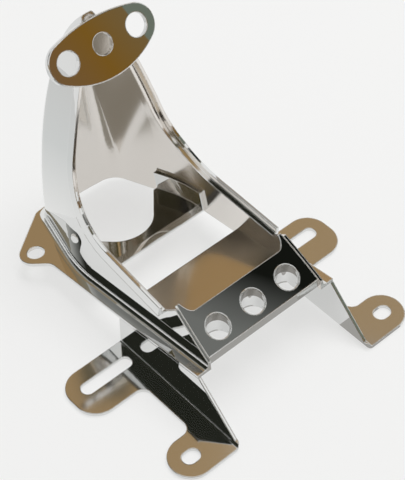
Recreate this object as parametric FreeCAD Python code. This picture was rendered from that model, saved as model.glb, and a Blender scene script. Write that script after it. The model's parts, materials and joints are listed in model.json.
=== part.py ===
import FreeCAD, Part
import math
import os
from FreeCAD import Vector

# Tail light bracket: a welded set of chrome plated pressings.
# World frame: x across the vehicle, y rearward up the hood, z up.
# The undersides of the two feet lie in z = 0, and the origin is midway between their long slots.
# The hood and everything welded inside it are drawn in the hood's own frame, where
# x is the same, y runs along the base flange and h is measured square to it.

# Sheet
SHEET = 2.0
LAMP_PLATE_THICK = 3.0

# Hood frame in the world
HOOD_PITCH = 7.6
HOOD_RISE = 25.8

# Hood walls, outer faces, at the base flange
HOOD_FRONT_Y = -52.0
HOOD_HALF_WIDTH = 43.0
KNUCKLE_Y = 60.0
BACK_Y = 114.5
BACK_HALF_WIDTH = 27.0
BACK_CROWN = 2.0
KNUCKLE_LENGTH = 14.0
CORNER_LENGTH = 10.0

# Hood walls, how they close in with height towards an apex that the lamp plate cuts off
SIDE_APEX = 161.5
SIDE_POWER = 1.5
BACK_APEX = 0.941 * SIDE_APEX
HOOD_TOP = 0.9226 * SIDE_APEX
SECTION_HEIGHTS = [HOOD_TOP * part for part in (0.0, 0.2, 0.4, 0.6, 0.77, 0.9, 1.0)]

# Upper edge of the hood walls, seen from the side, and the stepped-out band that stands on it
LOW_EDGE_Y = -16.0
LOW_EDGE_H = 17.3
LOW_EDGE_ANGLE = 13.2
THROAT_Y = 65.0
THROAT_RADIUS = 45.5
BAND_HEIGHT = 4.1
BAND_OUT = 3.0

# Rounded bend at the foot of the walls, sunk a little so that it joins them cleanly
BASE_BEND = 3.2
BASE_BEND_SINK = 0.2

# Base flange and its rear ears
FLANGE_HALF_WIDTH = 50.4
FLANGE_BACK = 4.0
EAR_X = 51.0
EAR_Y = 89.3
EAR_RADIUS = 9.7
EAR_HOLE_RADIUS = 5.1
EAR_FRONT_ANGLE = -45.0
EAR_REAR_ANGLE = 53.3
EAR_CORNER_RADIUS = 6.0
EAR_REAR_X = 30.0

# Lamp plate
LAMP_TILT = 63.6
LAMP_Y = 61.5
LAMP_H = 0.8235 * SIDE_APEX
LAMP_HOLE_PITCH = 23.2
LAMP_END_RADIUS = 12.0
LAMP_BULGE_LOW = 19.0
LAMP_BULGE_HIGH = 15.2
LAMP_HOLE_RADIUS = 6.6
LAMP_MIDDLE_HOLE_RADIUS = 6.0
LAMP_EDGE_BREAK = 0.4

# Cross plate at the middle of the hood
CROSS_REAR_Y = 78.5
CROSS_CREASE_Y = 48.3
CROSS_FRONT_Y = 43.8
CROSS_DROP_ANGLE = 14.0
CROSS_CUT_Y = 54.0
CROSS_CUT_RADIUS = 20.7
CROSS_CUT_ANGLE = 49.7
UPSTAND_H = 14.5

# Wedge plate at the front: floor, front strip and sloping top in one folded sheet
FLOOR_REAR_Y = 15.9
WEDGE_FRONT_Y = -50.4
WEDGE_FRONT_H = 5.4
WEDGE_ANGLE = 37.6
WEDGE_LENGTH = 25.0
HORN_LENGTH = 32.6
HORN_TIP = 2.2
HORN_ROOT = 8.6
WEDGE_HOLE_PITCH = 25.5
WEDGE_HOLE_S = 10.8
WEDGE_HOLE_RADIUS = 7.1
FLOOR_HOLE_Y = -40.3

# Feet that carry the number plate
FOOT_REAR_Y = 13.5
FOOT_EAR_FRONT_Y = -19.5
FOOT_EAR_X = 97.5
FOOT_EAR_RADIUS = 13.5
FOOT_NECK_X = 61.4
FOOT_NECK_RADIUS = 6.0
SLOT_X = 72.0
SLOT_HALF_LENGTH = 13.2
SLOT_RADIUS = 4.0
TAB_X = 73.0
TAB_Y = -71.1
TAB_RADIUS = 13.1
TAB_HOLE_RADIUS = 4.2
TAB_HOLE_HALF_LENGTH = 1.2
FOOT_CORNER_RADIUS = 4.0
FOOT_BEND_INNER = 1.2
FOOT_WALL_TIP_H = 4.0

# How far the working solids reach past the part
REACH = 1.4 * BACK_Y


def box(x0, x1, y0, y1, z0, z1):
    return Part.makeBox(x1 - x0, y1 - y0, z1 - z0, Vector(x0, y0, z0))


def rod(x, y, z, radius, length, direction):
    return Part.makeCylinder(radius, length, Vector(x, y, z), direction)


def side_scale(h):
    return 1.0 - (h / SIDE_APEX) ** SIDE_POWER


def back_scale(h):
    return math.sqrt(1.0 - (h / BACK_APEX) ** 2)


def bezier(a, b, c):
    curve = Part.BezierCurve()
    curve.setPoles([a, b, c])
    return curve.toShape()


def section(h, grow):
    # One level cut through the hood, a closed U in plan, moved outward by grow.
    half = HOOD_HALF_WIDTH * side_scale(h) + grow
    back_half = BACK_HALF_WIDTH * side_scale(h) + grow
    depth = (BACK_Y - KNUCKLE_Y) * back_scale(h) + grow
    back = KNUCKLE_Y + depth
    slant = Vector(back_half - half, depth, 0)
    slant.normalize()
    knuckle = KNUCKLE_LENGTH * side_scale(h)
    corner = CORNER_LENGTH * side_scale(h)
    front_p = Vector(half, HOOD_FRONT_Y, h)
    knuckle_p = Vector(half, KNUCKLE_Y, h)
    corner_p = Vector(back_half, back, h)
    knuckle_in = Vector(half, KNUCKLE_Y - knuckle, h)
    knuckle_out = knuckle_p + slant * knuckle
    corner_in = corner_p - slant * corner
    corner_out = Vector(back_half - corner, back, h)
    crown = Vector(0, back + BACK_CROWN * side_scale(h), h)

    def flip(p):
        return Vector(-p.x, p.y, p.z)

    edges = [
        Part.makeLine(front_p, knuckle_in),
        bezier(knuckle_in, knuckle_p, knuckle_out),
        Part.makeLine(knuckle_out, corner_in),
        bezier(corner_in, corner_p, corner_out),
        bezier(corner_out, crown, flip(corner_out)),
        bezier(flip(corner_out), flip(corner_p), flip(corner_in)),
        Part.makeLine(flip(corner_in), flip(knuckle_out)),
        bezier(flip(knuckle_out), flip(knuckle_p), flip(knuckle_in)),
        Part.makeLine(flip(knuckle_in), flip(front_p)),
        Part.makeLine(flip(front_p), front_p),
    ]
    return Part.Wire(edges)


def hood_volume(grow):
    wires = [section(h, grow) for h in SECTION_HEIGHTS]
    return Part.makeLoft(wires, True, False)


def side_slab(edges, half_width):
    # A profile drawn in the y-h plane, run across the full width.
    face = Part.Face(Part.Wire(edges))
    face.translate(Vector(-half_width, 0, 0))
    return face.extrude(Vector(2.0 * half_width, 0, 0))


def yh(y, h):
    return Vector(0, y, h)


def v2(x, y):
    return Vector(x, y, 0)


def chain(points):
    return [Part.makeLine(a, b) for a, b in zip(points[:-1], points[1:])]


def flat(wire, thick):
    return Part.Face(wire).extrude(Vector(0, 0, thick))


def polar(x, y, radius, angle):
    a = math.radians(angle)
    return Vector(x + radius * math.cos(a), y + radius * math.sin(a), 0)


def to_world(shape):
    shape.rotate(Vector(0, 0, 0), Vector(1, 0, 0), -HOOD_PITCH)
    shape.translate(Vector(0, 0, HOOD_RISE))
    return shape


# Hood volumes: both skins of the walls, both skins of the band, inside of the cross plate's upstands
outer = hood_volume(0.0)
inner = hood_volume(-SHEET)
band_outer = hood_volume(BAND_OUT)
band_inner = hood_volume(BAND_OUT - SHEET)
upstand_wires = [section(UPSTAND_H * part, -2.0 * SHEET) for part in (0.0, 1.0, 2.0)]
inner_upstand = Part.makeLoft(upstand_wires, True, False)

# Plane of the lamp plate's back face, in the y-h plane
lamp_a = math.radians(LAMP_TILT)
lamp_up = Vector(0, math.cos(lamp_a), math.sin(lamp_a))
lamp_out = Vector(0, -math.sin(lamp_a), math.cos(lamp_a))
lamp_face = Vector(0, LAMP_Y, LAMP_H)
lamp_back = lamp_face - lamp_out * LAMP_PLATE_THICK

# Top plane of the wedge plate
wedge_a = math.radians(WEDGE_ANGLE)
wedge_up = Vector(0, math.cos(wedge_a), math.sin(wedge_a))
wedge_out = Vector(0, -math.sin(wedge_a), math.cos(wedge_a))
wedge_front = Vector(0, WEDGE_FRONT_Y, WEDGE_FRONT_H)
horn_top = wedge_front + wedge_up * (HORN_LENGTH - HORN_TIP)

# Upper edge of the walls: low straight run, round throat, upright run to the lamp plate
edge_a = math.radians(LOW_EDGE_ANGLE)
edge_dir = Vector(0, math.cos(edge_a), math.sin(edge_a))
edge_in = Vector(0, math.sin(edge_a), -math.cos(edge_a))
low_start = Vector(0, LOW_EDGE_Y, LOW_EDGE_H)
meet = low_start + edge_dir * ((THROAT_Y - LOW_EDGE_Y) / edge_dir.y)
reach = THROAT_RADIUS * math.tan(math.radians((90.0 - LOW_EDGE_ANGLE) / 2.0))
arc_start = meet - edge_dir * reach
arc_end = meet + Vector(0, 0, reach)
arc_centre = arc_end - Vector(0, THROAT_RADIUS, 0)
mid_a = math.radians((LOW_EDGE_ANGLE - 90.0) / 2.0)
mid_dir = Vector(0, math.cos(mid_a), math.sin(mid_a))


def edge_points(depth):
    # Corners of the upper edge, and the middle of its arc, moved into the wall by depth.
    top_y = THROAT_Y + depth
    return (
        low_start + edge_in * depth,
        arc_start + edge_in * depth,
        arc_centre + mid_dir * (THROAT_RADIUS + depth),
        arc_end + Vector(0, depth, 0),
        lamp_back + lamp_up * ((top_y - lamp_back.y) / lamp_up.y),
    )


def edge_strip(depth_a, depth_b):
    # A strip along the upper edge between two depths, run across the full width.
    low_a, start_a, mid_point_a, end_a, top_a = edge_points(depth_a)
    low_b, start_b, mid_point_b, end_b, top_b = edge_points(depth_b)
    edges = chain([low_a, start_a])
    edges.append(Part.Arc(start_a, mid_point_a, end_a).toShape())
    edges += chain([end_a, top_a, top_b, end_b])
    edges.append(Part.Arc(end_b, mid_point_b, start_b).toShape())
    edges += chain([start_b, low_b, low_a])
    return side_slab(edges, REACH)


# Walls, cut to their profile
hood_peak = lamp_back + lamp_up * LAMP_END_RADIUS * 3.0
front_top = wedge_front - wedge_up * ((WEDGE_FRONT_Y - HOOD_FRONT_Y) / wedge_up.y)
low, start, mid_point, end, top = edge_points(0.0)
keep_edges = chain([yh(HOOD_FRONT_Y, 0), front_top, horn_top, low, start])
keep_edges.append(Part.Arc(start, mid_point, end).toShape())
keep_edges += chain([end, top, hood_peak, yh(REACH, hood_peak.z)])
keep_edges += chain([yh(REACH, hood_peak.z), yh(REACH, 0), yh(HOOD_FRONT_Y, 0)])
keep = side_slab(keep_edges, REACH)
walls = outer.cut(inner).common(keep)

# Shoulder turned outward at the upper edge, and the band that stands on it
shoulder = edge_strip(0.0, SHEET).common(band_outer.cut(outer))
band = edge_strip(-BAND_HEIGHT, SHEET).common(band_outer.cut(band_inner))

# Base flange with a drilled ear at each rear corner
ear_front = polar(EAR_X, EAR_Y, EAR_RADIUS, EAR_FRONT_ANGLE)
ear_far = polar(EAR_X, EAR_Y, EAR_RADIUS, (EAR_FRONT_ANGLE + EAR_REAR_ANGLE) / 2.0)
ear_rear = polar(EAR_X, EAR_Y, EAR_RADIUS, EAR_REAR_ANGLE)
slope = math.tan(math.radians(EAR_REAR_ANGLE + 90.0))
ear_root_y = ear_front.y - (ear_front.x - FLANGE_HALF_WIDTH)
flange_back_y = BACK_Y + FLANGE_BACK
rear_corner = Vector(EAR_REAR_X, ear_rear.y + (EAR_REAR_X - ear_rear.x) * slope, 0)
half_bend = EAR_CORNER_RADIUS * math.tan(math.radians(22.5))
bend_a = Vector(FLANGE_HALF_WIDTH, ear_root_y - half_bend, 0)
bend_c = Vector(FLANGE_HALF_WIDTH + half_bend * 0.7071, ear_root_y + half_bend * 0.7071, 0)
bend_b = Vector(FLANGE_HALF_WIDTH, ear_root_y, 0)
back_middle = Vector(0, flange_back_y, 0)


def flange_half(sign):
    def p(v):
        return Vector(sign * v.x, v.y, 0)

    edges = [
        Part.makeLine(Vector(0, HOOD_FRONT_Y, 0), p(Vector(FLANGE_HALF_WIDTH, HOOD_FRONT_Y, 0))),
        Part.makeLine(p(Vector(FLANGE_HALF_WIDTH, HOOD_FRONT_Y, 0)), p(bend_a)),
        bezier(p(bend_a), p(bend_b), p(bend_c)),
        Part.makeLine(p(bend_c), p(ear_front)),
        Part.Arc(p(ear_front), p(ear_far), p(ear_rear)).toShape(),
        Part.makeLine(p(ear_rear), p(rear_corner)),
        bezier(p(rear_corner), p(Vector(BACK_HALF_WIDTH, flange_back_y, 0)), p(back_middle)),
        Part.makeLine(back_middle, Vector(0, HOOD_FRONT_Y, 0)),
    ]
    plate = flat(Part.Wire(edges), -SHEET)
    return plate.cut(rod(sign * EAR_X, EAR_Y, -2.0 * SHEET, EAR_HOLE_RADIUS, 4.0 * SHEET, Vector(0, 0, 1)))


opening = flat(section(0.0, -SHEET), -SHEET)
flange = flange_half(1).fuse(flange_half(-1)).cut(opening)

# Rounded bend where the walls turn out into the flange
bend_wires = []
for step in range(7):
    turn = math.radians(90.0 * step / 6.0)
    bend_h = BASE_BEND * (1.0 - math.cos(turn))
    bend_wires.append(section(bend_h, BASE_BEND * (1.0 - math.sin(turn)) - BASE_BEND_SINK))
base_bend = Part.makeLoft(bend_wires, True, False).cut(outer).common(keep)
hood = walls.fuse(shoulder).fuse(band).fuse(base_bend).fuse(flange).removeSplitter()


# Lamp plate: two rounded ends joined by a deep lower and a shallow upper bulge, drilled three times
def bulge(depth):
    # Radius and end point of an arc of this depth at the middle that runs tangent into the end arc.
    gap = depth - LAMP_END_RADIUS
    radius = (LAMP_HOLE_PITCH ** 2 + depth ** 2 - LAMP_END_RADIUS ** 2) / (2.0 * gap)
    rise = radius - depth
    span = radius - LAMP_END_RADIUS
    out_x = LAMP_HOLE_PITCH / span
    out_y = rise / span
    return Vector(LAMP_HOLE_PITCH + LAMP_END_RADIUS * out_x, LAMP_END_RADIUS * out_y, 0)


high = bulge(LAMP_BULGE_HIGH)
low = bulge(LAMP_BULGE_LOW)
tip = LAMP_HOLE_PITCH + LAMP_END_RADIUS
lamp_edges = [
    Part.Arc(v2(-high.x, high.y), v2(0, LAMP_BULGE_HIGH), v2(high.x, high.y)).toShape(),
    Part.Arc(v2(high.x, high.y), v2(tip, 0), v2(low.x, -low.y)).toShape(),
    Part.Arc(v2(low.x, -low.y), v2(0, -LAMP_BULGE_LOW), v2(-low.x, -low.y)).toShape(),
    Part.Arc(v2(-low.x, -low.y), v2(-tip, 0), v2(-high.x, high.y)).toShape(),
]
lamp_plate = flat(Part.Wire(lamp_edges), -LAMP_PLATE_THICK)
top_edges = [e for e in lamp_plate.Edges if abs(e.BoundBox.ZMin) < 1e-6 and abs(e.BoundBox.ZMax) < 1e-6]
lamp_plate = lamp_plate.makeChamfer(LAMP_EDGE_BREAK, top_edges)
for i in (-1, 0, 1):
    radius = LAMP_HOLE_RADIUS if i else LAMP_MIDDLE_HOLE_RADIUS
    depth = 3.0 * LAMP_PLATE_THICK
    hole = rod(i * LAMP_HOLE_PITCH, 0, -2.0 * LAMP_PLATE_THICK, radius, depth, Vector(0, 0, 1))
    lamp_plate = lamp_plate.cut(hole)
lamp_plate.rotate(Vector(0, 0, 0), Vector(1, 0, 0), LAMP_TILT)
lamp_plate.translate(lamp_face)

# Cross plate: level web with a wide rounded notch, upstands against the walls, front strip turned down
drop_a = math.radians(CROSS_DROP_ANGLE)
strip = CROSS_CREASE_Y - CROSS_FRONT_Y
crease_top = yh(CROSS_CREASE_Y, SHEET)
strip_end = yh(CROSS_FRONT_Y, SHEET - strip * math.tan(drop_a))
strip_under = strip_end + Vector(0, math.sin(drop_a), -math.cos(drop_a)) * SHEET
crease_under = yh(CROSS_CREASE_Y + SHEET * math.tan(drop_a / 2.0), 0)
web_edges = chain([
    yh(CROSS_REAR_Y, SHEET),
    crease_top,
    strip_end,
    strip_under,
    crease_under,
    yh(CROSS_REAR_Y, 0),
    yh(CROSS_REAR_Y, SHEET),
])
skirt_low = section(0.0, -SHEET).translated(Vector(0, 0, -4.0 * SHEET))
skirt = Part.makeLoft([section(0.0, -SHEET), skirt_low], True, True)
web = side_slab(web_edges, REACH).common(inner.fuse(skirt))
cut_a = math.radians(CROSS_CUT_ANGLE)
notch_x = CROSS_CUT_RADIUS * math.sin(cut_a)
notch_low = CROSS_CUT_Y + CROSS_CUT_RADIUS * (1.0 - math.cos(cut_a))
notch_end = CROSS_REAR_Y + SHEET
notch_far = notch_x + (notch_end - notch_low) / math.tan(cut_a)
notch_edges = [
    Part.Arc(v2(notch_x, notch_low), v2(0, CROSS_CUT_Y), v2(-notch_x, notch_low)).toShape(),
    Part.makeLine(v2(-notch_x, notch_low), v2(-notch_far, notch_end)),
    Part.makeLine(v2(-notch_far, notch_end), v2(notch_far, notch_end)),
    Part.makeLine(v2(notch_far, notch_end), v2(notch_x, notch_low)),
]
notch = flat(Part.Wire(notch_edges), 4.0 * SHEET)
notch.translate(Vector(0, 0, -SHEET))
upstand = inner.cut(inner_upstand).common(box(-REACH, REACH, CROSS_FRONT_Y, CROSS_REAR_Y, 0, UPSTAND_H))
cross_plate = web.cut(notch).fuse(upstand).removeSplitter()

# Wedge plate: floor, front strip and sloping top, drilled through top and floor
wedge_low = wedge_front - wedge_out * SHEET
bend_y = WEDGE_FRONT_Y + SHEET
bend_h = wedge_low.z + (bend_y - wedge_low.y) * math.tan(wedge_a)
top_end = wedge_front + wedge_up * HORN_LENGTH
wedge_edges = chain([
    yh(WEDGE_FRONT_Y, 0),
    wedge_front,
    top_end,
    top_end - wedge_out * SHEET,
    yh(bend_y, bend_h),
    yh(bend_y, SHEET),
    yh(FLOOR_REAR_Y, SHEET),
    yh(FLOOR_REAR_Y, 0),
    yh(WEDGE_FRONT_Y, 0),
])
wedge = side_slab(wedge_edges, REACH).common(inner)
# The rear edge of the top is cut back between two pointed horns
horn_half = HOOD_HALF_WIDTH - 2.0 * SHEET
root_x = horn_half - HORN_ROOT
curl_x = horn_half - 0.5 * HORN_ROOT
tip_x = horn_half - HORN_TIP
cut_end = HORN_LENGTH + 1.0
cut_edges = [
    Part.makeLine(v2(-root_x, WEDGE_LENGTH), v2(root_x, WEDGE_LENGTH)),
    bezier(v2(root_x, WEDGE_LENGTH), v2(curl_x, WEDGE_LENGTH), v2(tip_x, cut_end)),
    Part.makeLine(v2(tip_x, cut_end), v2(-tip_x, cut_end)),
    bezier(v2(-tip_x, cut_end), v2(-curl_x, WEDGE_LENGTH), v2(-root_x, WEDGE_LENGTH)),
]
horn_cut = flat(Part.Wire(cut_edges), 4.0 * SHEET)
horn_cut.translate(Vector(0, 0, -2.0 * SHEET))
horn_cut.rotate(Vector(0, 0, 0), Vector(1, 0, 0), WEDGE_ANGLE)
horn_cut.translate(wedge_front)
wedge = wedge.cut(horn_cut)
hole_at = wedge_front + wedge_up * WEDGE_HOLE_S
for i in (-1, 0, 1):
    start = hole_at + wedge_out * SHEET + Vector(i * WEDGE_HOLE_PITCH, 0, 0)
    wedge = wedge.cut(Part.makeCylinder(WEDGE_HOLE_RADIUS, 2.5 * SHEET, start, wedge_out * -1.0))
    start = Vector(i * WEDGE_HOLE_PITCH, FLOOR_HOLE_Y, -SHEET)
    wedge = wedge.cut(Part.makeCylinder(WEDGE_HOLE_RADIUS, 2.5 * SHEET, start, Vector(0, 0, 1)))
wedge_plate = wedge.removeSplitter()

for shape in (hood, lamp_plate, cross_plate, wedge_plate):
    to_world(shape)

# Feet, drawn in the world frame on the right-hand side
wall_out = FLANGE_HALF_WIDTH
wall_in = wall_out - SHEET
pitch_a = math.radians(HOOD_PITCH)


def under_flange(y):
    # Height of the base flange's underside above y.
    return HOOD_RISE - SHEET / math.cos(pitch_a) - y * math.tan(pitch_a)


flange_front_y = HOOD_FRONT_Y * math.cos(pitch_a) - SHEET * math.sin(pitch_a)
tab_front_y = TAB_Y - TAB_RADIUS
tab_rear_y = TAB_Y + TAB_RADIUS
ear_r = FOOT_EAR_RADIUS
diag = math.sqrt(0.5)
n = FOOT_NECK_RADIUS
f = FOOT_CORNER_RADIUS


foot_edges = [
    Part.makeLine(v2(wall_in, FOOT_REAR_Y), v2(FOOT_EAR_X - ear_r, FOOT_REAR_Y)),
    Part.Arc(
        v2(FOOT_EAR_X - ear_r, FOOT_REAR_Y),
        v2(FOOT_EAR_X - ear_r + ear_r * diag, FOOT_REAR_Y - ear_r + ear_r * diag),
        v2(FOOT_EAR_X, FOOT_REAR_Y - ear_r),
    ).toShape(),
    Part.makeLine(v2(FOOT_EAR_X, FOOT_REAR_Y - ear_r), v2(FOOT_EAR_X, FOOT_EAR_FRONT_Y + ear_r)),
    Part.Arc(
        v2(FOOT_EAR_X, FOOT_EAR_FRONT_Y + ear_r),
        v2(FOOT_EAR_X - ear_r + ear_r * diag, FOOT_EAR_FRONT_Y + ear_r - ear_r * diag),
        v2(FOOT_EAR_X - ear_r, FOOT_EAR_FRONT_Y),
    ).toShape(),
    Part.makeLine(v2(FOOT_EAR_X - ear_r, FOOT_EAR_FRONT_Y), v2(FOOT_NECK_X + n, FOOT_EAR_FRONT_Y)),
    Part.Arc(
        v2(FOOT_NECK_X + n, FOOT_EAR_FRONT_Y),
        v2(FOOT_NECK_X + n - n * diag, FOOT_EAR_FRONT_Y - n + n * diag),
        v2(FOOT_NECK_X, FOOT_EAR_FRONT_Y - n),
    ).toShape(),
    Part.makeLine(v2(FOOT_NECK_X, FOOT_EAR_FRONT_Y - n), v2(FOOT_NECK_X, tab_rear_y + n)),
    Part.Arc(
        v2(FOOT_NECK_X, tab_rear_y + n),
        v2(FOOT_NECK_X + n - n * diag, tab_rear_y + n - n * diag),
        v2(FOOT_NECK_X + n, tab_rear_y),
    ).toShape(),
    Part.makeLine(v2(FOOT_NECK_X + n, tab_rear_y), v2(TAB_X, tab_rear_y)),
    Part.Arc(v2(TAB_X, tab_rear_y), v2(TAB_X + TAB_RADIUS, TAB_Y), v2(TAB_X, tab_front_y)).toShape(),
    Part.makeLine(v2(TAB_X, tab_front_y), v2(wall_in + f, tab_front_y)),
    Part.Arc(
        v2(wall_in + f, tab_front_y),
        v2(wall_in + f - f * diag, tab_front_y + f - f * diag),
        v2(wall_in, tab_front_y + f),
    ).toShape(),
    Part.makeLine(v2(wall_in, tab_front_y + f), v2(wall_in, FOOT_REAR_Y)),
]


def oblong(x, y, half_length, radius):
    a, b = x - half_length, x + half_length
    edges = [
        Part.makeLine(v2(a, y - radius), v2(b, y - radius)),
        Part.Arc(v2(b, y - radius), v2(b + radius, y), v2(b, y + radius)).toShape(),
        Part.makeLine(v2(b, y + radius), v2(a, y + radius)),
        Part.Arc(v2(a, y + radius), v2(a - radius, y), v2(a, y - radius)).toShape(),
    ]
    bar = flat(Part.Wire(edges), 3.0 * SHEET)
    bar.translate(Vector(0, 0, -SHEET))
    return bar


# An angle section with a rounded bend, trimmed to the foot's outline and to the slope of its wall
bend_out = FOOT_BEND_INNER + SHEET
bend_x = wall_in + bend_out
bend_z = bend_out


def angle_arc(radius):
    a = Vector(bend_x - radius, 0, bend_z)
    b = Vector(bend_x - radius * diag, 0, bend_z - radius * diag)
    c = Vector(bend_x, 0, bend_z - radius)
    return a, Part.Arc(a, b, c).toShape(), c


out_a, out_arc, out_b = angle_arc(bend_out)
in_a, in_arc, in_b = angle_arc(FOOT_BEND_INNER)
angle_edges = [out_arc]
angle_edges += chain([out_b, Vector(REACH, 0, 0), Vector(REACH, 0, SHEET), in_b])
angle_edges.append(in_arc)
angle_edges += chain([in_a, Vector(wall_out, 0, REACH), Vector(wall_in, 0, REACH), out_a])
angle_face = Part.Face(Part.Wire(angle_edges))
angle_face.translate(Vector(0, -REACH, 0))
angle = angle_face.extrude(Vector(0, 2.0 * REACH, 0))
outline = flat(Part.Wire(foot_edges), REACH)
wall_edges = chain([
    yh(FOOT_REAR_Y + SHEET, 0),
    yh(FOOT_REAR_Y + SHEET, under_flange(FOOT_REAR_Y + SHEET)),
    yh(flange_front_y, under_flange(flange_front_y)),
    yh(tab_front_y + f, FOOT_WALL_TIP_H),
    yh(tab_front_y - SHEET, FOOT_WALL_TIP_H),
    yh(tab_front_y - SHEET, 0),
    yh(FOOT_REAR_Y + SHEET, 0),
])
foot = angle.common(outline).common(side_slab(wall_edges, REACH))
foot = foot.cut(oblong(SLOT_X, 0.0, SLOT_HALF_LENGTH, SLOT_RADIUS))
foot = foot.cut(oblong(TAB_X, TAB_Y, TAB_HOLE_HALF_LENGTH, TAB_HOLE_RADIUS))
foot_right = foot
foot_left = foot.mirror(Vector(0, 0, 0), Vector(1, 0, 0))

os.makedirs("parts", exist_ok=True)
pieces = {
    "hood_shell": hood,
    "lamp_plate": lamp_plate,
    "cross_plate": cross_plate,
    "wedge_plate": wedge_plate,
    "foot_right": foot_right,
    "foot_left": foot_left,
}
for name in pieces:
    shape = pieces[name]
    if len(shape.Solids) == 1:
        shape = shape.Solids[0]
    print(name, shape.ShapeType, shape.isValid(), round(shape.Volume, 1), shape.BoundBox)
    shape.exportStep("parts/" + name + ".step")
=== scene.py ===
import json
import math
from collections import namedtuple

import bpy
from bpy.props import FloatProperty, FloatVectorProperty, PointerProperty
from mathutils import Matrix, Vector


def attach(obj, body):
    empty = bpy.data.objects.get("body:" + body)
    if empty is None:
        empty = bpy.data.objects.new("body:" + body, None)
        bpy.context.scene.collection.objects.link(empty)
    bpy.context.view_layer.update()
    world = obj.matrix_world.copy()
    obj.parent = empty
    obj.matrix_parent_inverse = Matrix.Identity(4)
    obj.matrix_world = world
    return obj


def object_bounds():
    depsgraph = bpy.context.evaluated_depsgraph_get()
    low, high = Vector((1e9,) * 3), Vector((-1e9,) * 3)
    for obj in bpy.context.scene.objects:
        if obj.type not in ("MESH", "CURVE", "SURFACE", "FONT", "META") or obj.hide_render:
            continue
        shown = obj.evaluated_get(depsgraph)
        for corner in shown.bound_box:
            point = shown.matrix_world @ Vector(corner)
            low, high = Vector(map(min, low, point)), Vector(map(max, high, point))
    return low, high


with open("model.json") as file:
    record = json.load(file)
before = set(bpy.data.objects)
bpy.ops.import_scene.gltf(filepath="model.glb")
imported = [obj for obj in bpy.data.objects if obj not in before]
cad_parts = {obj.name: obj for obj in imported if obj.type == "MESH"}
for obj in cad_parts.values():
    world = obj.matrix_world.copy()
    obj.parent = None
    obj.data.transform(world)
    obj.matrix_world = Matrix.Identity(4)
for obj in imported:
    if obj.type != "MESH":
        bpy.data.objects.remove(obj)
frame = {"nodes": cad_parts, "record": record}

bl_info = {
    "name": "Chrome tail light bracket",
    "version": (1, 0, 0),
    "blender": (4, 5, 0),
    "location": "View3D > Sidebar > Bracket",
    "description": "Dresses a pressed and welded chrome tail light bracket and sets its stage",
    "category": "Object",
}

CAD_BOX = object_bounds()
MM = 0.001
POLISHED = "polished_plate"

# Places of the sockets of a Mix node that mixes colours
MIX_FACTOR = 0
MIX_FIRST = 6
MIX_SECOND = 7
MIX_RESULT = 2

# Fineness of the plate's smears, steps of its noises and samples of its rounded edges
SMEAR_SCALE = 70.0
SMEAR_DETAIL = 4.0
WAVE_DETAIL = 1.0
EDGE_SAMPLES = 6

# Middle of the hood, and how far inward or upward a face must look to count as inside or level
HOOD_HEART = (0.0, 0.05, 0.0)
LEVEL_PART = (1.0, 1.0, 0.0)
INWARD_FACING = 0.012
LEVEL_FACING = 0.95

# Sleeves that join the wedge's upper and lower holes: wall, sides, share of the length below the mouth
# that is dull and carries painted shade, angle of a sharp edge, and places as shares of the width of the
# holes' row
SLEEVE_WALL = 0.0008
SLEEVE_SIDES = 64
SLEEVE_DULL_AND_SHADED = 0.42
SLEEVE_CREASE = math.radians(40.0)
SLEEVES = {"sleeve_left": -0.5, "sleeve_middle": 0.0, "sleeve_right": 0.5}

# Table, with the gap between it and the undersides of the feet
FLOOR_WIDTH = 12.0
FLOOR_GAP = 0.0002

# Lamp and camera
LAMP_PLACE = Vector((0.5, 0.1, 1.6))
LAMP_WIDTH = 1.2
LAMP_DEPTH = 1.0
SENSOR_WIDTH = 36.0
NEAREST_SEEN = 0.01
FARTHEST_SEEN = 50.0

# Tones that neighbouring cards and patches share
DARK = (0.022, 0.024, 0.018)
BLACK = (0.008, 0.009, 0.007)
GREY = (0.18, 0.185, 0.175)
PALE = (0.73, 0.745, 0.74)
BROWN = (0.40, 0.28, 0.15)
AMBER = (0.225, 0.115, 0.018)

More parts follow.
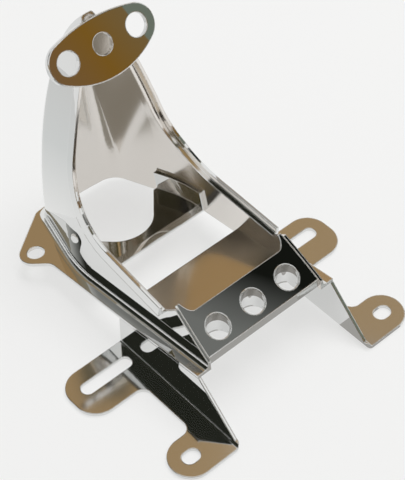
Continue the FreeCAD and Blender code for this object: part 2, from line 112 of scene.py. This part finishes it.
# Cards that the plate mirrors, bent round one point: ranges of azimuth from the rear towards the
# right and of elevation, both in degrees, distance in metres, tones at the first and last azimuth.
# A card with one tone has it all over.
Card = namedtuple("Card", "name azimuth elevation distance first last", defaults=(None,))
CARD_AIM = Vector((0.0, 0.02, 0.05))
CARD_STEPS = 12
CARD_TONE = "tone"
FAR = 1.5
SHELF = 0.95 * FAR
NEAR = 0.2
CARDS = (
    Card("brown_wall", (10, 47.8), (27, 63), FAR, (0.35, 0.23, 0.11), BROWN),
    Card("brown_side", (47.8, 66), (27, 51.2), FAR, BROWN, (0.40, 0.29, 0.17)),
    Card("grey_side", (47.8, 66), (51.2, 55), FAR, (0.34, 0.32, 0.29)),
    Card("dim_shelf", (30.5, 35.5), (48, 55), SHELF, (0.09, 0.085, 0.06)),
    Card("dark_left", (-78, -30), (2, 65), FAR, DARK),
    Card("fading_left", (-30, -12), (2, 54), FAR, DARK, (0.5, 0.5, 0.48)),
    Card("dim_rear", (-12, 10), (27, 54), FAR, (0.28, 0.26, 0.20), (0.26, 0.20, 0.12)),
    Card("dark_rear", (-30, 10), (54, 72), FAR, DARK, (0.04, 0.035, 0.025)),
    Card("dark_right", (112, 134.5), (40, 57), FAR, BLACK),
    Card("dim_high", (112, 134.5), (57, 72), FAR, (0.14, 0.13, 0.09)),
    Card("fading_right", (134.5, 140), (40, 57), FAR, BLACK, GREY),
    Card("grey_right", (140, 149), (40, 57), FAR, GREY, (0.2, 0.2, 0.19)),
    Card("dim_right", (88, 125), (-1, 20), FAR, (0.2, 0.175, 0.13)),
    Card("slate_front", (133, 147.75), (4, 34), FAR, (0.12, 0.12, 0.1), (0.177, 0.206, 0.165)),
    Card("amber_front", (147.75, 150.5), (4, 34), FAR, (0.20, 0.13, 0.05), AMBER),
    Card("amber_side", (150.5, 155), (4, 34), FAR, AMBER, (0.19, 0.113, 0.058)),
    Card("olive_front", (158, 200), (4, 37), FAR, (0.13, 0.11, 0.065)),
    Card("dark_front", (-160, -146), (18, 44.5), FAR, (0.07, 0.06, 0.025)),
    Card("brown_front", (-146, -100), (21, 42), FAR, (0.42, 0.30, 0.15)),
    # low_front is a painted reflection: a dark strip close to the part at the front left, where nothing
    # stands, standing in for the cross plate's dark image in the hood's wall
    Card("low_front", (-162, -100), (-14, 15), NEAR, (0.035, 0.032, 0.015)),
)

# Painted shade: dim glowing patches just above the table, seen only in the plate, where they darken its
# mirror image of the table: two corners, then the near and the far tone. A patch with one tone has it
# all over.
Shade = namedtuple("Shade", "name first last near far", defaults=(None,))
SHADES = (
    Shade("bay_shade", (-0.036, 0.084), (-0.005, 0.108), (0.27, 0.255, 0.22)),
    Shade("front_shade", (-0.045, -0.105), (0.075, -0.06), (0.42, 0.41, 0.39)),
    Shade("rear_shade_fade", (-0.17, 0.125), (-0.02, 0.205), (0.89, 0.89, 0.88), PALE),
    Shade("rear_shade", (-0.17, 0.205), (-0.02, 0.33), PALE, (0.70, 0.70, 0.69)),
)


class ChromeSettings(bpy.types.PropertyGroup):
    """Finish of the plated sheet, with the painted reflections and painted shade of its duller
    stretches.
    """

    tint: FloatVectorProperty(
        name="Tint",
        description="Colour of light mirrored straight back by the plate",
        subtype="COLOR",
        min=0.0,
        max=1.0,
        default=(0.77, 0.775, 0.77),
    )
    polish: FloatProperty(
        name="Roughness",
        description="Roughness where the plate is polished best",
        subtype="FACTOR",
        default=0.008,
    )
    inner_haze: FloatProperty(
        name="Inner haze",
        description="Roughness added inside the hood, where no wheel reaches to polish",
        subtype="FACTOR",
        default=0.12,
    )
    # Painted reflection: a warm colour inside the hood that stands in for the brown surroundings it
    # mirrors
    painted_inner_reflection: FloatVectorProperty(
        name="Inner painted reflection",
        description="Painted reflection: warm colour mirrored inside the hood",
        subtype="COLOR",
        min=0.0,
        max=1.0,
        default=(0.82, 0.785, 0.745),
    )
    # Painted reflection: a brownish colour on the wedge's floor that stands in for the brown it mirrors
    painted_floor_reflection: FloatVectorProperty(
        name="Wedge floor painted reflection",
        description="Painted reflection: brownish colour mirrored by the floor of the wedge",
        subtype="COLOR",
        min=0.0,
        max=1.0,
        default=(0.74, 0.69, 0.60),
    )
    floor_haze: FloatProperty(
        name="Wedge floor haze",
        description="Roughness added on the floor of the wedge, under its sloping top",
        subtype="FACTOR",
        default=0.13,
    )
    foot_haze: FloatProperty(
        name="Foot haze",
        description="Roughness added on the level faces of the feet",
        subtype="FACTOR",
        default=0.06,
    )
    # Painted shade: a dark grey on the upper insides of the bolt sleeves, where the holes lie in shade
    painted_sleeve_shade: FloatVectorProperty(
        name="Sleeve painted shade",
        description="Painted shade: dark colour of the upper insides of the bolt sleeves",
        subtype="COLOR",
        min=0.0,
        max=1.0,
        default=(0.34, 0.33, 0.31),
    )
    sleeve_haze: FloatProperty(
        name="Sleeve haze",
        description="Roughness added on the bolt sleeves",
        subtype="FACTOR",
        default=0.25,
    )
    haze: FloatProperty(
        name="Haze",
        description="Roughness added in the dullest patches",
        subtype="FACTOR",
        default=0.014,
    )
    ripple: FloatProperty(
        name="Ripple height",
        description="Height of the slow waves left in the sheet by the press",
        subtype="DISTANCE",
        unit="LENGTH",
        default=0.00006,
    )
    ripple_length: FloatProperty(
        name="Ripple length",
        description="Length of the slow waves in the sheet",
        subtype="DISTANCE",
        unit="LENGTH",
        default=0.045,
    )
    edge_round: FloatProperty(
        name="Edge round",
        description="Radius of the buffed edges of the sheet",
        subtype="DISTANCE",
        unit="LENGTH",
        default=0.0008,
    )


class StageSettings(bpy.types.PropertyGroup):
    """Floor, light and camera."""

    floor_colour: FloatVectorProperty(
        name="Floor colour",
        description="Colour of the pale table",
        subtype="COLOR",
        min=0.0,
        max=1.0,
        default=(0.9, 0.9, 0.9),
    )
    backdrop: FloatVectorProperty(
        name="Backdrop",
        description="Near white that the eye and the plate see on the table and all around",
        subtype="COLOR",
        min=0.0,
        max=1.0,
        default=(0.93, 0.93, 0.92),
    )
    backdrop_share: FloatProperty(
        name="Backdrop share",
        description="How much of the table's seen colour is backdrop rather than lit surface",
        subtype="FACTOR",
        default=0.65,
    )
    room_light: FloatProperty(
        name="Room light",
        description="Strength of the even light from all around",
        default=0.62,
    )
    lamp_power: FloatProperty(
        name="Lamp power",
        description="Power of the large soft lamp above",
        unit="POWER",
        default=14.0,
    )
    view_azimuth: FloatProperty(
        name="View azimuth",
        description="Direction of the camera round the part from the front",
        subtype="ANGLE",
        unit="ROTATION",
        default=math.radians(-41.968),
    )
    view_elevation: FloatProperty(
        name="View elevation",
        description="Height of the camera above the horizon",
        subtype="ANGLE",
        unit="ROTATION",
        default=math.radians(48.157),
    )
    view_roll: FloatProperty(
        name="View roll",
        description="Turn of the camera about its own axis",
        subtype="ANGLE",
        unit="ROTATION",
        default=math.radians(-0.168),
    )
    view_distance: FloatProperty(
        name="View distance",
        description="Distance from the camera to the origin along the view",
        subtype="DISTANCE",
        unit="LENGTH",
        default=0.894823,
    )
    view_side: FloatProperty(
        name="View side step",
        description="How far the origin lies right of the picture's centre",
        subtype="DISTANCE",
        unit="LENGTH",
        default=0.000533,
    )
    view_rise: FloatProperty(
        name="View rise",
        description="How far the origin lies above the picture's centre",
        subtype="DISTANCE",
        unit="LENGTH",
        default=-0.039891,
    )
    lens: FloatProperty(
        name="Lens",
        description="Focal length for a sensor of 36 mm along the picture's long side",
        subtype="DISTANCE_CAMERA",
        unit="CAMERA",
        default=117.217,
    )


class BracketSettings(bpy.types.PropertyGroup):
    """All settings of the bracket and its stage."""

    chrome: PointerProperty(name="Chrome", description="Finish of the plated sheet", type=ChromeSettings)
    stage: PointerProperty(name="Stage", description="Floor, light and camera", type=StageSettings)


class Socket:
    """An output socket of a shader tree, whose arithmetic adds Math nodes."""

    def __init__(self, shader, output):
        self.shader = shader
        self.output = output

    def __add__(self, other):
        return self.shader.math("ADD", self, other)

    __radd__ = __add__

    def __mul__(self, other):
        return self.shader.math("MULTIPLY", self, other)

    __rmul__ = __mul__


class Shader:
    """The node tree of a new material or world, whose nodes are made by one method."""

    def __init__(self, library, name):
        self.owner = library.new(name)
        self.owner.use_nodes = True
        self.tree = self.owner.node_tree
        self.tree.nodes.clear()

    def node(self, kind, settings, values):
        """Makes a node, sets it, then links its sockets or gives them values."""
        made = self.tree.nodes.new(kind)
        for name, value in settings.items():
            setattr(made, name, value)
        for key, value in values.items():
            if isinstance(value, Socket):
                self.tree.links.new(value.output, made.inputs[key])
            else:
                made.inputs[key].default_value = value
        return Outputs(self, made)

    def math(self, operation, first, second):
        """A sum, product or test of two values."""
        return self.node("ShaderNodeMath", {"operation": operation}, {0: first, 1: second})["Value"]

    def vector(self, operation, first, second):
        """A sum or product of two vectors."""
        return self.node("ShaderNodeVectorMath", {"operation": operation}, {0: first, 1: second})

    def blend(self, factor, first, second):
        """A colour between two colours."""
        colours = {MIX_FACTOR: factor, MIX_FIRST: first, MIX_SECOND: second}
        return self.node("ShaderNodeMix", {"data_type": "RGBA"}, colours)[MIX_RESULT]

    def mix(self, factor, first, second):
        """A surface between two surfaces."""
        return self.node("ShaderNodeMixShader", {}, {0: factor, 1: first, 2: second})["Shader"]

    def seen(self):
        """One for rays from the eye and from mirrors, nought for light on its way to matt surfaces."""
        path = self.node("ShaderNodeLightPath", {}, {})
        direct = path["Is Camera Ray"] + path["Is Glossy Ray"] + path["Is Transmission Ray"]
        return self.math("MINIMUM", direct, 1.0)

    def finish(self, kind, surface):
        """Links the surface to the output, and gives the material or world."""
        self.node(kind, {}, {"Surface": surface})
        return self.owner


class Outputs:
    """The outputs of a made node, by name or number."""

    def __init__(self, shader, made):
        self.shader = shader
        self.made = made

    def __getitem__(self, key):
        return Socket(self.shader, self.made.outputs[key])


def opaque(colour):
    """A colour with full alpha."""
    return (*colour, 1.0)


def inside_hood(shader):
    """One on faces that look towards the middle of the hood, else nought."""
    where = shader.node("ShaderNodeNewGeometry", {}, {})
    outward = shader.vector("SUBTRACT", where["Position"], HOOD_HEART)["Vector"]
    level = shader.vector("MULTIPLY", outward, LEVEL_PART)["Vector"]
    facing = shader.vector("DOT_PRODUCT", where["Normal"], level)["Value"]
    return shader.math("LESS_THAN", facing, -INWARD_FACING)


def level_face(shader):
    """One on faces that look straight up, else nought."""
    normal = shader.node("ShaderNodeNewGeometry", {}, {})["Normal"]
    rise = shader.node("ShaderNodeSeparateXYZ", {}, {"Vector": normal})["Z"]
    return shader.math("GREATER_THAN", rise, LEVEL_FACING)


def whole(_shader):
    """One everywhere."""
    return 1.0


def noise(shader, scale, detail):
    """Soft noise fixed to the piece."""
    place = shader.node("ShaderNodeTexCoord", {}, {})["Object"]
    values = {"Vector": place, "Scale": scale, "Detail": detail}
    return shader.node("ShaderNodeTexNoise", {}, values)["Fac"]


def chrome_material(name, dull_where, dullness, painted_tint):
    """Plated sheet: a mirror with slow waves, uneven haze, buffed edges and a duller stretch, whose
    colour is painted reflection inside the hood and on the wedge's floor and painted shade in the bolt
    sleeves.
    """
    settings = bpy.context.scene.bracket.chrome
    shader = Shader(bpy.data.materials, name)
    dull_and_painted = dull_where(shader)
    waves = noise(shader, 1.0 / settings.ripple_length, WAVE_DETAIL)
    smears = noise(shader, SMEAR_SCALE, SMEAR_DETAIL)
    edges = shader.node("ShaderNodeBevel", {"samples": EDGE_SAMPLES}, {"Radius": settings.edge_round})
    relief = {"Distance": settings.ripple, "Height": waves, "Normal": edges["Normal"]}
    finish = {
        # The duller stretch takes the painted colour: painted reflection in the hood and on the wedge's
        # floor, painted shade in the sleeves
        "Base Color": shader.blend(dull_and_painted, opaque(settings.tint), opaque(painted_tint)),
        "Metallic": 1.0,
        "Roughness": settings.polish + settings.haze * smears + dullness * dull_and_painted,
        "Normal": shader.node("ShaderNodeBump", {}, relief)["Normal"],
    }
    surface = shader.node("ShaderNodeBsdfPrincipled", {}, finish)["BSDF"]
    return shader.finish("ShaderNodeOutputMaterial", surface)


def table_material(settings):
    """A matt table that keeps the part's shadow but is seen nearly as white as the backdrop."""
    shader = Shader(bpy.data.materials, "pale_table")
    lit = shader.node("ShaderNodeBsdfDiffuse", {}, {"Color": opaque(settings.floor_colour)})["BSDF"]
    shown = shader.node("ShaderNodeEmission", {}, {"Color": opaque(settings.backdrop)})["Emission"]
    surface = shader.mix(settings.backdrop_share * shader.seen(), lit, shown)
    return shader.finish("ShaderNodeOutputMaterial", surface)


def card_material():
    """Glow in the tone that is stored at each corner of a card."""
    shader = Shader(bpy.data.materials, "card")
    tone = shader.node("ShaderNodeAttribute", {"attribute_name": CARD_TONE}, {})["Color"]
    surface = shader.node("ShaderNodeEmission", {}, {"Color": tone})["Emission"]
    return shader.finish("ShaderNodeOutputMaterial", surface)


def room_world(settings):
    """Even light from all around, seen by the eye and the plate as the backdrop."""
    shader = Shader(bpy.data.worlds, "room")
    light = shader.node("ShaderNodeBackground", {}, {"Strength": settings.room_light})["Background"]
    shown = shader.node("ShaderNodeBackground", {}, {"Color": opaque(settings.backdrop)})["Background"]
    return shader.finish("ShaderNodeOutputWorld", shader.mix(shader.seen(), light, shown))


def polished():
    """The evenly polished plate, made once."""
    found = bpy.data.materials.get(POLISHED)
    return found or chrome_material(POLISHED, whole, 0.0, bpy.context.scene.bracket.chrome.tint)


def plate(name, material):
    """Gives one pressing its plating."""
    piece = frame["nodes"][name]
    piece.data.materials.clear()
    piece.data.materials.append(material)


class BRACKET_OT_hood(bpy.types.Operator):
    """Plate the tall hood with its band, flange and ears, with a painted reflection inside"""

    bl_idname = "bracket.hood"
    bl_label = "Hood"

    def execute(self, context):
        settings = context.scene.bracket.chrome
        # Inside the hood the colour is a warm painted reflection
        finish = chrome_material("hood_plate", inside_hood, settings.inner_haze, settings.painted_inner_reflection)
        plate("hood_shell", finish)
        return {"FINISHED"}


class BRACKET_OT_lamp_plate(bpy.types.Operator):
    """Plate the lozenge that carries the lamp"""

    bl_idname = "bracket.lamp_plate"
    bl_label = "Lamp plate"

    def execute(self, context):
        plate("lamp_plate", polished())
        return {"FINISHED"}


class BRACKET_OT_inner_plates(bpy.types.Operator):
    """Plate the cross plate and the wedge between the walls, with a painted reflection on the wedge's
    floor
    """

    bl_idname = "bracket.inner_plates"
    bl_label = "Inner plates"

    def execute(self, context):
        plate("cross_plate", polished())
        settings = context.scene.bracket.chrome
        # The wedge's floor gets a brownish painted reflection
        finish = chrome_material("wedge_plate", level_face, settings.floor_haze, settings.painted_floor_reflection)
        plate("wedge_plate", finish)
        return {"FINISHED"}


def ring(mount, offset, radius):
    """Points round a hole of a mount, for the hole at this share of the row's width."""
    axis = Vector(mount["axis"])
    across = Vector((1.0, 0.0, 0.0))
    along = axis.cross(across)
    centre = Vector(mount["pos_m"]) + across * offset * mount["dims"]["pcd_mm"] * MM
    turns = [2.0 * math.pi * side / SLEEVE_SIDES for side in range(SLEEVE_SIDES)]
    return [centre + radius * (across * math.cos(a) + along * math.sin(a)) for a in turns]


def add_sleeve(name, offset, dull_and_painted):
    """A thin tube from a hole in the wedge's top down to the hole in its floor, with painted shade on
    the upper part of its inside.
    """
    mounts = {mount["name"]: mount for mount in frame["record"]["mounts"]}
    upper, lower = mounts["wedge_holes"], mounts["floor_holes"]
    inner = upper["dims"]["hole_r_mm"] * MM
    outer = inner + SLEEVE_WALL
    mouth, foot = ring(upper, offset, inner), ring(lower, offset, inner)
    middle = [high.lerp(low, SLEEVE_DULL_AND_SHADED) for high, low in zip(mouth, foot)]
    rings = [mouth, middle, foot, ring(lower, offset, outer), ring(upper, offset, outer)]
    points = [point for each in rings for point in each]
    faces = []
    for band in range(len(rings)):
        here, after = band * SLEEVE_SIDES, (band + 1) % len(rings) * SLEEVE_SIDES
        for side in range(SLEEVE_SIDES):
            turn = (side + 1) % SLEEVE_SIDES
            faces.append((here + side, here + turn, after + turn, after + side))
    mesh = bpy.data.meshes.new(name)
    mesh.from_pydata(points, [], faces)
    mesh.materials.append(polished())
    mesh.materials.append(dull_and_painted)
    # The band just below each mouth carries the painted shade
    for face in mesh.polygons[:SLEEVE_SIDES]:
        face.material_index = 1
    mesh.shade_smooth()
    mesh.set_sharp_from_angle(angle=SLEEVE_CREASE)
    sleeve = bpy.data.objects.new(name, mesh)
    bpy.context.scene.collection.objects.link(sleeve)
    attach(sleeve, "root")


class BRACKET_OT_sleeves(bpy.types.Operator):
    """Set the three bolt sleeves into the wedge, with painted shade in their upper insides"""

    bl_idname = "bracket.sleeves"
    bl_label = "Bolt sleeves"

    def execute(self, context):
        settings = context.scene.bracket.chrome
        # The sleeves' dull material carries a dark painted shade
        dull_and_painted = chrome_material("sleeve_painted_shade", whole, settings.sleeve_haze, settings.painted_sleeve_shade)
        for name, offset in SLEEVES.items():
            add_sleeve(name, offset, dull_and_painted)
        return {"FINISHED"}


class BRACKET_OT_feet(bpy.types.Operator):
    """Plate the two slotted feet"""

    bl_idname = "bracket.feet"
    bl_label = "Feet"

    def execute(self, context):
        settings = context.scene.bracket.chrome
        finish = chrome_material("foot_plate", level_face, settings.foot_haze, settings.tint)
        plate("foot_left", finish)
        plate("foot_right", finish)
        return {"FINISHED"}


def view_axes(azimuth, elevation, roll):
    """Right, up and back directions of a camera."""
    reach = math.cos(elevation)
    back = Vector((math.sin(azimuth) * reach, -math.cos(azimuth) * reach, math.sin(elevation)))
    right = Vector((math.cos(azimuth), math.sin(azimuth), 0.0))
    up = back.cross(right)
    return (
        right * math.cos(roll) + up * math.sin(roll),
        up * math.cos(roll) - right * math.sin(roll),
        back,
    )


def add_camera(settings):
    """The camera that took the picture, as fitted to it."""
    right, up, back = view_axes(settings.view_azimuth, settings.view_elevation, settings.view_roll)
    data = bpy.data.cameras.new("photo_view")
    data.sensor_fit = "AUTO"
    data.sensor_width = SENSOR_WIDTH
    data.lens = settings.lens
    data.clip_start = NEAREST_SEEN
    data.clip_end = FARTHEST_SEEN
    camera = bpy.data.objects.new("photo_view", data)
    bpy.context.scene.collection.objects.link(camera)
    place = back * settings.view_distance - right * settings.view_side - up * settings.view_rise
    turn = Matrix((right, up, back)).transposed().to_4x4()
    camera.matrix_world = Matrix.Translation(place) @ turn
    bpy.context.scene.camera = camera


def add_floor(settings):
    """A wide level table just under the feet."""
    half = FLOOR_WIDTH / 2.0
    level = CAD_BOX[0].z - FLOOR_GAP
    corners = [(sx * half, sy * half, level) for sx, sy in ((-1, -1), (1, -1), (1, 1), (-1, 1))]
    mesh = bpy.data.meshes.new("floor")
    mesh.from_pydata(corners, [], [(0, 1, 2, 3)])
    mesh.materials.append(table_material(settings))
    floor = bpy.data.objects.new("floor", mesh)
    bpy.context.scene.collection.objects.link(floor)


def on_dome(azimuth, elevation, distance):
    """A point round the part, for angles in degrees, azimuth from the rear towards the right."""
    turn, rise = math.radians(azimuth), math.radians(elevation)
    reach = math.cos(rise)
    return CARD_AIM + distance * Vector((math.sin(turn) * reach, math.cos(turn) * reach, math.sin(rise)))


def add_mirrored(name, points, faces, tones, material):
    """A sheet of stored tones that is seen only as a mirror image in the plate."""
    mesh = bpy.data.meshes.new(name)
    mesh.from_pydata(points, [], faces)
    mesh.materials.append(material)
    stored = mesh.attributes.new(CARD_TONE, "FLOAT_COLOR", "POINT")
    for corner, tone in zip(stored.data, tones):
        corner.color = tone
    sheet = bpy.data.objects.new(name, mesh)
    bpy.context.scene.collection.objects.link(sheet)
    sheet.visible_camera = False
    sheet.visible_diffuse = False
    sheet.visible_shadow = False
    sheet.visible_transmission = False


def add_card(material, card):
    """A bent card, graded across its width."""
    columns = [part / CARD_STEPS for part in range(CARD_STEPS + 1)]
    points = []
    tones = []
    for across in columns:
        azimuth = card.azimuth[0] + across * (card.azimuth[1] - card.azimuth[0])
        tone = Vector(card.first).lerp(Vector(card.last or card.first), across)
        for up in columns:
            elevation = card.elevation[0] + up * (card.elevation[1] - card.elevation[0])
            points.append(on_dome(azimuth, elevation, card.distance))
            tones.append(opaque(tone))
    row = CARD_STEPS + 1
    faces = [
        (i * row + j, i * row + j + 1, (i + 1) * row + j + 1, (i + 1) * row + j)
        for i in range(CARD_STEPS)
        for j in range(CARD_STEPS)
    ]
    add_mirrored(card.name, points, faces, tones, material)


def add_shade(material, shade):
    """A patch of painted shade just above the table, seen only in the plate, graded along its length."""
    (x0, y0), (x1, y1) = shade.first, shade.last
    level = CAD_BOX[0].z - FLOOR_GAP / 2.0
    points = [(x0, y0, level), (x1, y0, level), (x1, y1, level), (x0, y1, level)]
    tones = [opaque(shade.near)] * 2 + [opaque(shade.far or shade.near)] * 2
    add_mirrored(shade.name, points, [(0, 1, 2, 3)], tones, material)


def add_lamp(power):
    """A large soft lamp above the part, not mirrored in the plate."""
    data = bpy.data.lights.new("soft_lamp", "AREA")
    data.energy = power
    data.shape = "RECTANGLE"
    data.size = LAMP_WIDTH
    data.size_y = LAMP_DEPTH
    lamp = bpy.data.objects.new("soft_lamp", data)
    bpy.context.scene.collection.objects.link(lamp)
    lamp.location = LAMP_PLACE
    lamp.rotation_mode = "QUATERNION"
    lamp.rotation_quaternion = (CARD_AIM - LAMP_PLACE).to_track_quat("-Z", "Y")
    lamp.visible_glossy = False


class BRACKET_OT_stage(bpy.types.Operator):
    """Set out the floor, cards, lamp, room light and camera"""

    bl_idname = "bracket.stage"
    bl_label = "Stage"

    def execute(self, context):
        settings = context.scene.bracket.stage
        add_floor(settings)
        toned = card_material()
        for card in CARDS:
            add_card(toned, card)
        for shade in SHADES:
            add_shade(toned, shade)
        add_lamp(settings.lamp_power)
        context.scene.world = room_world(settings)
        add_camera(settings)
        context.scene.view_settings.view_transform = "Standard"
        return {"FINISHED"}


class BRACKET_PT_panel(bpy.types.Panel):
    """Lists the steps that dress the bracket"""

    bl_idname = "BRACKET_PT_panel"
    bl_label = "Tail light bracket"
    bl_space_type = "VIEW_3D"
    bl_region_type = "UI"
    bl_category = "Bracket"

    def draw(self, context):
        for operator in OPERATORS:
            self.layout.operator(operator.bl_idname)


SETTINGS = (ChromeSettings, StageSettings, BracketSettings)
OPERATORS = (
    BRACKET_OT_hood,
    BRACKET_OT_lamp_plate,
    BRACKET_OT_inner_plates,
    BRACKET_OT_sleeves,
    BRACKET_OT_feet,
    BRACKET_OT_stage,
)


def register():
    for item in (*SETTINGS, *OPERATORS, BRACKET_PT_panel):
        bpy.utils.register_class(item)
    bpy.types.Scene.bracket = PointerProperty(type=BracketSettings)


def unregister():
    del bpy.types.Scene.bracket
    for item in reversed((*SETTINGS, *OPERATORS, BRACKET_PT_panel)):
        bpy.utils.unregister_class(item)


def main():
    register()
    bpy.ops.bracket.hood()
    bpy.ops.bracket.lamp_plate()
    bpy.ops.bracket.inner_plates()
    bpy.ops.bracket.sleeves()
    bpy.ops.bracket.feet()
    bpy.ops.bracket.stage()


if __name__ == "__main__":
    main()
